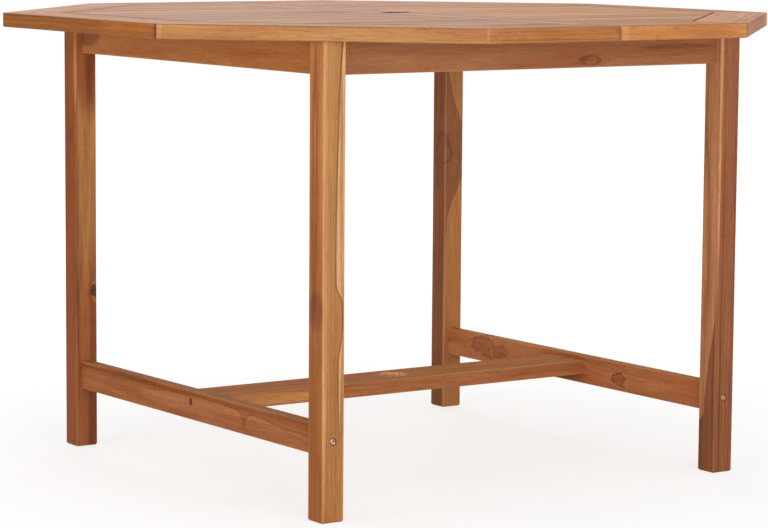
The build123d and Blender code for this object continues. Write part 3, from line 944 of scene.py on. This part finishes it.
@dataclass(frozen=True)
class Surface:
    """Corners and faces of a closed surface, in millimetres, about its own Z axis."""

    corners: np.ndarray
    quads: np.ndarray
    triangles: np.ndarray

    @classmethod
    def turned(cls, angles: np.ndarray, *bands: Band, tips: Point | None = None) -> "Surface":
        """Carry an outline round Z, with a radius that may change with the angle.

        Corner (i, j) is at radius r(i, j), angle a(j) and height h(i, j). Fans to two points on Z close the
        first and the last row. Without tips the last row joins the first, so that a hole runs through.

        Args:
            angles: One turn of angles, without its end.
            bands: Rows of radii and heights, with one value for all angles or one for each.
            tips: Heights of the points that close the first and the last row.

        Returns:
            The closed surface.
        """
        grids = [np.broadcast_arrays(radii, heights, angles)[:2] for radii, heights in bands]
        radii, heights = (np.concatenate(parts) for parts in zip(*grids))
        corners = np.stack([radii * np.cos(angles), radii * np.sin(angles), heights], axis=-1).reshape(-1, 3)
        index = np.arange(radii.size).reshape(radii.shape)
        after = np.roll(index, -1, axis=1)
        if tips is None:
            quads = np.stack([index, after, np.roll(after, -1, axis=0), np.roll(index, -1, axis=0)], axis=-1)
            return cls(corners, quads.reshape(-1, 4), np.empty((0, 3), dtype=int))
        quads = np.stack([index[:-1], after[:-1], after[1:], index[1:]], axis=-1)
        first, last = (np.full(len(angles), radii.size + number) for number in range(2))
        fans = [np.stack(fan, axis=-1) for fan in ((after[0], index[0], first), (index[-1], after[-1], last))]
        corners = np.concatenate([corners, [[0, 0, tip] for tip in tips]])
        return cls(corners, quads.reshape(-1, 4), np.concatenate(fans))

    def outward(self) -> "Surface":
        """Turn the faces round if the volume that they enclose comes out negative.

        Returns:
            The surface with its faces outwards.
        """
        split = np.concatenate([self.triangles, self.quads[:, [0, 1, 2]], self.quads[:, [0, 2, 3]]])
        a, b, c = (self.corners[split[:, corner]] for corner in range(3))
        if np.einsum("ij,ij->i", a, np.cross(b, c)).sum() >= 0:
            return self
        return Surface(self.corners, self.quads[:, ::-1], self.triangles[:, ::-1])


@dataclass(frozen=True)
class Seat:
    """Where a fastener sits: the start of its Z axis in metres and that axis's direction."""

    start: Triple
    direction: Triple

    def matrix(self) -> np.ndarray:
        """Turn and shift that take a fastener's own millimetres to the frame's metres."""
        turn = Vector(self.direction).to_track_quat("Z", "Y").to_matrix().to_4x4()
        return np.array(Matrix.Translation(self.start) @ turn @ Matrix.Scale(MM, 4))


def place_copies(name: str, surface: Surface, seats: list[Seat], material: Material, node: str) -> None:
    """Make one piece of a fastener's copies, at the origin, in place of its plain solids.

    Args:
        name: Name of the piece.
        surface: The fastener's surface.
        seats: Where its copies sit.
        material: Its material.
        node: The node that the piece stands for.
    """
    surface = surface.outward()
    turns = np.stack([seat.matrix() for seat in seats])
    corners = np.einsum("kij,nj->kni", turns[:, :3, :3], surface.corners) + turns[:, None, :3, 3]
    offsets = (len(surface.corners) * np.arange(len(seats)))[:, None, None]
    quads = (surface.quads[None] + offsets).reshape(-1, 4)
    triangles = (surface.triangles[None] + offsets).reshape(-1, 3)
    mesh = bpy.data.meshes.new(name)
    mesh.from_pydata(corners.reshape(-1, 3).tolist(), [], quads.tolist() + triangles.tolist())
    mesh.validate()
    mesh.polygons.foreach_set("use_smooth", np.ones(len(mesh.polygons), dtype=bool))
    mesh.set_sharp_from_angle(angle=math.radians(SHARP_ANGLE))
    mesh.materials.append(material)
    piece = bpy.data.objects.new(name, mesh)
    bpy.context.scene.collection.objects.link(piece)
    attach(piece, BODY)
    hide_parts(node)
    LOG.info("built %s: %d copies, %d faces", name, len(seats), len(mesh.polygons))


@dataclass
class BoltSet:
    """Flat headed joint bolts with a hexagon socket, and the barrel nuts that they pull on."""

    diameter: float = 6.0
    head: float = 10.0
    head_height: float = 4.0
    head_bevel: float = 0.2
    rim: float = 0.9
    dome: float = 0.06
    flare: float = 0.25
    socket: float = 4.6
    socket_depth: float = 2.5
    socket_lead: float = 0.35
    socket_point: float = 0.8
    neck: float = 0.3
    pitch: float = 1.0
    thread_length: float = 18.0
    tip: float = 0.8
    tip_share: float = 0.72
    leg_length: float = 69.5
    board_length: float = 45.0
    barrel: float = 10.0
    barrel_length: float = 14.0
    barrel_edge: float = 0.5
    slot_width: float = 1.6
    slot_depth: float = 1.8
    slot_draft: float = 0.2
    slot_rings: int = 12
    columns: int = 48

    def bolt(self, length: float) -> Surface:
        """A bolt along Z: its head's face at the origin and its tip at length.

        Rows run from the socket's floor up its hexagon wall, over the slightly domed face and the rolled
        rim, down the head and along the shank. The last stretch's radius follows the thread.

        Args:
            length: From the head's face to the tip.

        Returns:
            The bolt's surface.
        """
        angles = turn_of(self.columns)
        edge, under, shank = self.head / 2, self.head_height, self.diameter / 2
        lead = self.socket / 2 / math.cos(math.pi / 6) + self.flare
        wall = hexagon_radius(angles, self.socket)[None], np.array([[self.socket_depth], [self.socket_lead]])
        face = [(lead, self.dome), (0.5 * (lead + edge), 0.0)]
        face += rounded_corner((edge - self.rim, 0.04), (edge, 0.1), (edge, self.rim), 6)
        side = [(edge, under - self.head_bevel), (edge - self.head_bevel, under), (shank + self.flare, under),
                (shank, under + self.neck), (shank, length - self.thread_length)]
        steps = int(self.thread_length / self.pitch * THREAD_ROWS)
        run = np.linspace(length - self.thread_length + self.neck, length - self.tip, steps)[:, None]
        thread = thread_radius(angles, run, shank, self.pitch), run
        return Surface.turned(angles, wall, outline(*face, *side), thread,
                              outline((self.tip_share * shank, length)),
                              tips=(self.socket_depth + self.socket_point, length))

    def barrel_nut(self) -> Surface:
        """A barrel nut upright on Z about the origin, with a driver slot across its lower end.

        The lower end is a disc whose height is the slot's depth wherever the distance from the slot's
        middle line is under half its width.

        Returns:
            The nut's surface.
        """
        angles = turn_of(self.columns)
        radius, half, edge = self.barrel / 2, self.barrel_length / 2, self.barrel_edge
        rings = np.linspace(0.06, radius - edge, self.slot_rings)[:, None]
        inside = self.slot_width / 2 + self.slot_draft / 2 - np.abs(rings * np.sin(angles))
        slot = self.slot_depth * np.clip(inside / self.slot_draft, 0, 1)
        side = rounded_corner((radius - 0.45, -half), (radius, -half), (radius, -half + edge))
        side += rounded_corner((radius, half - edge), (radius, half), (radius - 0.45, half))
        return Surface.turned(angles, (rings, slot - half), outline(*side),
                              tips=(self.slot_depth - half, half))

    def build(self, steel: Material) -> None:
        """Seat the bolts in the legs and stretchers, and the barrel nuts in their holes.

        Args:
            steel: The plated steel.
        """
        low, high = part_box("leg_bolts")
        x, y, z = high.x - self.head / 2 * MM, high.y, (low.z + high.z) / 2
        leg_seats = [Seat((side * x, end * y, z), (0, -end, 0)) for side, end in QUARTERS]
        place_copies("leg_bolt_set", self.bolt(self.leg_length), leg_seats, steel, "leg_bolts")

        low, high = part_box("board_bolts")
        board_z = (low.z + high.z) / 2
        board_seats = [Seat((side * high.x, 0, board_z), (-side, 0, 0)) for side in SIDES.values()]
        place_copies("board_bolt_set", self.bolt(self.board_length), board_seats, steel, "board_bolts")

        in_board = high.x - (self.board_length - self.barrel / 2) * MM
        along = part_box("barrel_nuts")[1].y - self.barrel / 2 * MM
        nut_seats = [Seat((side * x, end * along, z), UP) for side, end in QUARTERS]
        nut_seats += [Seat((side * in_board, 0, board_z), UP) for side in SIDES.values()]
        place_copies("barrel_nut_set", self.barrel_nut(), nut_seats, steel, "barrel_nuts")


@dataclass
class HangerSet:
    """Studs through the corner blocks into the legs, each with a washer and a hexagon nut."""

    diameter: float = 6.0
    length: float = 64.0
    tail: float = 9.5
    pitch: float = 1.0
    cone_share: float = 0.66
    washer: float = 16.0
    washer_thickness: float = 1.5
    washer_bore: float = 6.4
    washer_roll: float = 0.6
    bore_roll: float = 0.4
    nut: float = 10.0
    nut_height: float = 5.0
    nut_rows: int = 15
    chamfer_share: float = 0.955
    chamfer_angle: float = 30.0
    bore_rows: int = 24
    bore_lead: float = 0.5
    bore_play: float = 0.75
    bore_flare: float = 0.9
    columns: int = 36

    def stud(self) -> Surface:
        """A threaded rod along Z from its tail below the origin, coned at both ends.

        The radius is the thread's, cut down near the ends by a cone.

        Returns:
            The stud's surface.
        """
        angles = turn_of(self.columns)
        start, end = -self.tail, self.length - self.tail
        run = np.linspace(start, end, int(self.length / self.pitch * THREAD_ROWS))[:, None]
        cone = self.cone_share * self.diameter / 2 + np.minimum(run - start, end - run)
        radii = np.minimum(thread_radius(angles, run, self.diameter / 2, self.pitch), cone)
        return Surface.turned(angles, (radii, run), tips=(start, end))

    def washer_ring(self) -> Surface:
        """A stamped flat washer under the origin: its outline has one rolled and one sharp side.

        Returns:
            The washer's surface.
        """
        outer, bore, thick = self.washer / 2, self.washer_bore / 2, self.washer_thickness
        rolled = rounded_corner((outer, self.washer_roll - thick), (outer, -thick),
                                (outer - self.washer_roll, -thick))
        rolled += rounded_corner((bore + self.bore_roll, -thick), (bore, -thick),
                                 (bore, self.bore_roll - thick))
        return Surface.turned(turn_of(self.columns), outline(
            (bore + 0.15, 0.0), (outer - 0.1, 0.0), (outer, -0.1), *rolled, (bore, -0.15)))

    def hexagon_nut(self) -> Surface:
        """A nut on the washer: a hexagon cut down at both ends by a cone, with a threaded bore.

        Each outer row's radius is the smaller of the hexagon's and the cone's at that height.

        Returns:
            The nut's surface.
        """
        angles = turn_of(2 * self.columns)
        bottom, top = -self.washer_thickness, -self.washer_thickness - self.nut_height
        heights = np.linspace(bottom, top, self.nut_rows)[:, None]
        slope = math.tan(math.radians(self.chamfer_angle))
        cone = self.chamfer_share * self.nut / 2 + np.minimum(bottom - heights, heights - top) / slope
        outer = np.minimum(hexagon_radius(angles, self.nut), cone), heights
        run = np.linspace(top + self.bore_lead, bottom - self.bore_lead, self.bore_rows)[:, None]
        bore = thread_radius(angles, run, self.diameter / 2 + self.bore_play, self.pitch), run
        lip = self.diameter / 2 + self.bore_flare
        return Surface.turned(angles, outer, outline((lip, top)), bore, outline((lip, bottom)))

    def build(self, steel: Material) -> None:
        """Seat a stud, a washer and a nut on each corner block.

        Args:
            steel: The plated steel.
        """
        low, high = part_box("hanger_washers")
        reach = high.x - self.washer / 2 * MM / math.sqrt(2)
        z = (low.z + high.z) / 2
        seats = [Seat((side * reach, end * reach, z), (side, end, 0)) for side, end in QUARTERS]
        place_copies("hanger_stud_set", self.stud(), seats, steel, "hanger_bolts")
        place_copies("hanger_washer_set", self.washer_ring(), seats, steel, "hanger_washers")
        place_copies("hanger_nut_set", self.hexagon_nut(), seats, steel, "hanger_nuts")


@dataclass
class ScrewSet:
    """Countersunk wood screws with a cross recess, up through the battens and aprons into the slats."""

    diameter: float = 4.0
    head: float = 8.0
    head_height: float = 3.0
    head_rings: int = 18
    neck: float = 2.0
    neck_share: float = 0.8
    length: float = 35.0
    tip: float = 4.0
    tip_share: float = 0.03
    pitch: float = 1.8
    thread_lead: float = 0.2
    thread_core: float = 0.25
    cross_arm: float = 2.5
    cross_width: float = 1.1
    cross_depth: float = 1.7
    cross_draft: float = 0.24
    cross_slope: float = 1.5
    rows_on_batten: int = 7
    columns: int = 48

    def screw(self) -> Surface:
        """A screw along Z with its head's face at the origin.

        The face's height is the recess: its depth falls off along each arm of the cross, and is nothing
        where the nearer of X and Y is over half the arm's width. The thread's radius shrinks to the tip.

        Returns:
            The screw's surface.
        """
        angles = turn_of(self.columns)
        edge, shank, neck = self.head / 2, self.diameter / 2, self.head_height + self.neck
        rings = np.linspace(0.05, edge - 0.35, self.head_rings)[:, None]
        off_arm = np.minimum(np.abs(rings * np.cos(angles)), np.abs(rings * np.sin(angles)))
        wall = np.clip((self.cross_width / 2 + self.cross_draft / 2 - off_arm) / self.cross_draft, 0, 1)
        recess = self.cross_depth * wall * np.clip(self.cross_slope * (1 - rings / self.cross_arm), 0, 1)
        cone = rounded_corner((edge - 0.2, 0.0), (edge, 0.05), (edge, 0.3), 3)
        cone += [(self.neck_share * shank, height) for height in (self.head_height, neck)]
        start = neck + self.thread_lead
        steps = int((self.length - start) / self.pitch * THREAD_ROWS)
        run = np.linspace(start, self.length - self.thread_lead, steps)[:, None]
        taper = np.clip((self.length - run) / self.tip, self.tip_share, 1.0)
        thread = (thread_radius(angles, run, shank, self.pitch) + self.thread_core) * taper
        thread = np.minimum(thread, shank)
        return Surface.turned(angles, (rings, recess), outline(*cone), (thread, run),
                              tips=(self.cross_depth, self.length))

    def build(self, steel: Material) -> None:
        """Seat the screws under the battens and in the aprons' pockets.

        Args:
            steel: The plated steel.
        """
        low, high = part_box("batten_screws")
        reach = self.head / 2 * MM
        rows = np.linspace(low.y + reach, high.y - reach, self.rows_on_batten)
        seats = [Seat((side * (high.x - reach), y, low.z), UP) for side in SIDES.values() for y in rows]
        place_copies("batten_screw_set", self.screw(), seats, steel, "batten_screws")

        low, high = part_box("apron_screws")
        out, row = high.x - reach, 2 * (rows[1] - rows[0])
        seats = [Seat((side * out, end * row, low.z), UP) for side, end in QUARTERS]
        seats += [Seat((side * row, end * out, low.z), UP) for side, end in QUARTERS]
        place_copies("apron_screw_set", self.screw(), seats, steel, "apron_screws")


@dataclass
class DowelSet:
    """Fluted hardwood dowels in the mitres, across the seam and in the ends of the stiles."""

    diameter: float = 8.0
    length: float = 40.0
    flutes: int = 18
    flute_depth: float = 0.35
    bevel: float = 1.2
    columns: int = 72
    seed: int = 601

    def dowel(self) -> Surface:
        """A dowel along Z about the origin: a round whose radius dips at each flute, bevelled at its ends.

        Returns:
            The dowel's surface.
        """
        angles = turn_of(self.columns)
        half = self.length / 2
        heights = np.array([-half, -half + self.bevel, half - self.bevel, half])[:, None]
        ends = np.array([self.bevel, 0.0, 0.0, self.bevel])[:, None]
        flutes = self.flute_depth * np.clip(np.cos(self.flutes * angles), 0, 1)
        radii = self.diameter / 2 - flutes - 0.5 * ends
        return Surface.turned(angles, (radii, heights), tips=(-half, half))

    def build(self) -> None:
        """Seat the dowels in the joints of the top."""
        low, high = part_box("left_border_side")
        width, outer, z = high.x - low.x, -low.x, (low.z + high.z) / 2
        border = outer - width / 2
        low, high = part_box("right_stile")
        stile = abs((low + high).x / 2)
        corner = border / math.cos(HALF_CORNER)
        seats = []
        for number in range(OCTAGON_CORNERS):
            angle = math.radians(22.5 + 45 * number)
            seats.append(Seat((corner * math.cos(angle), corner * math.sin(angle), z),
                              (-math.sin(angle), math.cos(angle), 0)))
        seats += [Seat((0, end * border, z), (1, 0, 0)) for end in ENDS.values()]
        seats += [Seat((side * stile, end * (outer - width), z), (0, 1, 0)) for side, end in QUARTERS]
        board = sawn_board("top_dowels", Grain.ALONG_X, Wood.SAWN_HARDWOOD, self.seed,
                           centre=Vector((0, 0, z)), half=(1.0, 1.0), pith=(0.03, 0.02))
        place_copies("top_dowel_set", self.dowel(), seats, BARE_HARDWOOD.material(board), "top_dowels")


@dataclass
class Studio:
    """A pale floor, soft lamps and the camera of the photograph."""

    floor_radius: float = 9.0
    floor_hub: float = 0.5
    floor_rings: int = 12
    floor_columns: int = 96
    floor_colour: str = "#F7F6F4"
    floor_glow: float = 0.72
    far_glow: float = 0.92
    glow_start: float = 1.2
    glow_end: float = 3.5
    sky: float = 0.31
    camera_place: Triple = (-2.8160, -4.1028, 0.9240)
    camera_turn: float = -0.5984
    camera_pitch: float = 0.1191
    camera_roll: float = 0.0071
    camera_lens: float = 139.83
    camera_sensor: float = 36.0
    lamp_target: Triple = (0.0, 0.0, 0.45)
    lamps: dict[str, tuple[Triple, Point, float]] = field(default_factory=lambda: {
        "key": ((-0.6, -4.7, 0.9), (3.2, 1.2), 113.0),
        "fill": ((-4.5, -0.6, 0.9), (3.2, 1.2), 58.0),
        "back": ((1.5, 3.6, 3.0), (2.4, 2.4), 30.0),
        "top": ((0.0, 0.0, 3.2), (2.4, 2.4), 23.0),
    })

    def floor(self) -> None:
        """Lay a flat disc under the table, a polar grid whose radius grows evenly from ring to ring."""
        angles = turn_of(self.floor_columns)
        rings = np.linspace(self.floor_hub, self.floor_radius, self.floor_rings)[:, None]
        grid = np.stack([rings * np.cos(angles), rings * np.sin(angles), 0 * rings * angles], axis=-1)
        index = np.arange(rings.size * angles.size).reshape(rings.size, angles.size)
        after = np.roll(index, -1, axis=1)
        quads = np.stack([index[:-1], index[1:], after[1:], after[:-1]], axis=-1).reshape(-1, 4)
        mesh = bpy.data.meshes.new("studio_floor")
        mesh.from_pydata(grid.reshape(-1, 3).tolist(), [], quads.tolist() + [index[0].tolist()])
        mesh.materials.append(self.floor_material())
        disc = bpy.data.objects.new("studio_floor", mesh)
        bpy.context.scene.collection.objects.link(disc)

    def floor_material(self) -> Material:
        """Build the floor's pale paint. It glows to the camera, so that it is white but keeps the shadow.

        Returns:
            The finished material.
        """
        material, add = new_material("pale_floor")
        paint = add("BsdfDiffuse", {"Color": linear(self.floor_colour)})
        place = add("TexCoord").outputs["Object"]
        far = add("VectorMath", {0: place}, operation="LENGTH").outputs["Value"]
        glow = add("MapRange", {
            "Value": far, "From Min": self.glow_start, "From Max": self.glow_end, "To Min": self.floor_glow,
            "To Max": self.far_glow}, interpolation_type="SMOOTHSTEP")
        light = add("Emission", {"Strength": glow})
        half = add("MixShader", {0: 0.5, 1: paint})
        both = add("AddShader", {0: half, 1: light})
        shader = add("MixShader", {0: self.seen_directly(add), 1: paint, 2: both})
        add("OutputMaterial", {"Surface": shader})
        return material

    def seen_directly(self, add: Adder) -> Node:
        """Tell rays that show the background, which are the camera's, mirrored and passing ones, from light.

        Args:
            add: Adds a node to a material or to the world.

        Returns:
            The node that gives 1 for such rays and 0 for the others.
        """
        path = add("LightPath").outputs
        seen = add("Math", {0: path["Is Camera Ray"], 1: path["Is Glossy Ray"]}, operation="MAXIMUM")
        return add("Math", {0: seen, 1: path["Is Transmission Ray"]}, operation="MAXIMUM")

    def world(self) -> None:
        """Surround the scene with white, at full strength where it is seen and softer as a light."""
        world = bpy.data.worlds.new("studio_world")
        world.use_nodes = True
        world.node_tree.nodes.clear()
        add = partial(add_node, world.node_tree)
        strength = add("MapRange", {"Value": self.seen_directly(add), "To Min": self.sky, "To Max": 1.0})
        light = add("Background", {"Color": (1.0, 1.0, 1.0, 1.0), "Strength": strength})
        add("OutputWorld", {"Surface": light})
        bpy.context.scene.world = world

    def lights(self) -> None:
        """Hang soft boxes that face the table, low ones in front, so that the top's shadow is short."""
        for name, (place, (width, height), power) in self.lamps.items():
            lamp = bpy.data.lights.new(f"{name}_lamp", "AREA")
            lamp.shape = "RECTANGLE"
            lamp.size, lamp.size_y = width, height
            lamp.energy = power
            box = bpy.data.objects.new(f"{name}_lamp", lamp)
            aim = Vector(self.lamp_target) - Vector(place)
            turn = aim.to_track_quat("-Z", "Y").to_matrix().to_4x4()
            box.matrix_world = Matrix.Translation(place) @ turn
            bpy.context.scene.collection.objects.link(box)

    def camera(self) -> None:
        """Stand the camera where the photograph was taken from, turned, tipped down and rolled."""
        sin, cos = math.sin, math.cos
        turn, pitch, roll = self.camera_turn, self.camera_pitch, self.camera_roll
        ahead = Vector((-sin(turn) * cos(pitch), cos(turn) * cos(pitch), -sin(pitch)))
        level = Vector((cos(turn), sin(turn), 0.0))
        upright = level.cross(ahead)
        right = cos(roll) * level + sin(roll) * upright
        up = cos(roll) * upright - sin(roll) * level
        axes = Matrix((right, up, -ahead)).transposed().to_4x4()
        data = bpy.data.cameras.new("photo_camera")
        data.lens = self.camera_lens
        data.sensor_fit = "HORIZONTAL"
        data.sensor_width = self.camera_sensor
        camera = bpy.data.objects.new("photo_camera", data)
        camera.matrix_world = Matrix.Translation(self.camera_place) @ axes
        bpy.context.scene.collection.objects.link(camera)
        bpy.context.scene.camera = camera

    def build(self) -> None:
        """Set up floor, world, lamps and camera."""
        self.floor()
        self.world()
        self.lights()
        self.camera()
        bpy.context.scene.view_settings.view_transform = "Standard"


def main() -> None:
    """Dress the boards, build the fasteners and set up the studio."""
    logging.basicConfig(level=logging.INFO, format="%(name)s: %(message)s")
    for assembly in (TableTop(), LegFrame(), LowFrame()):
        assembly.dress()
    steel = ZincFinish().material()
    for fasteners in (BoltSet(), HangerSet(), ScrewSet()):
        fasteners.build(steel)
    DowelSet().build()
    Studio().build()


if __name__ == "__main__":
    main()
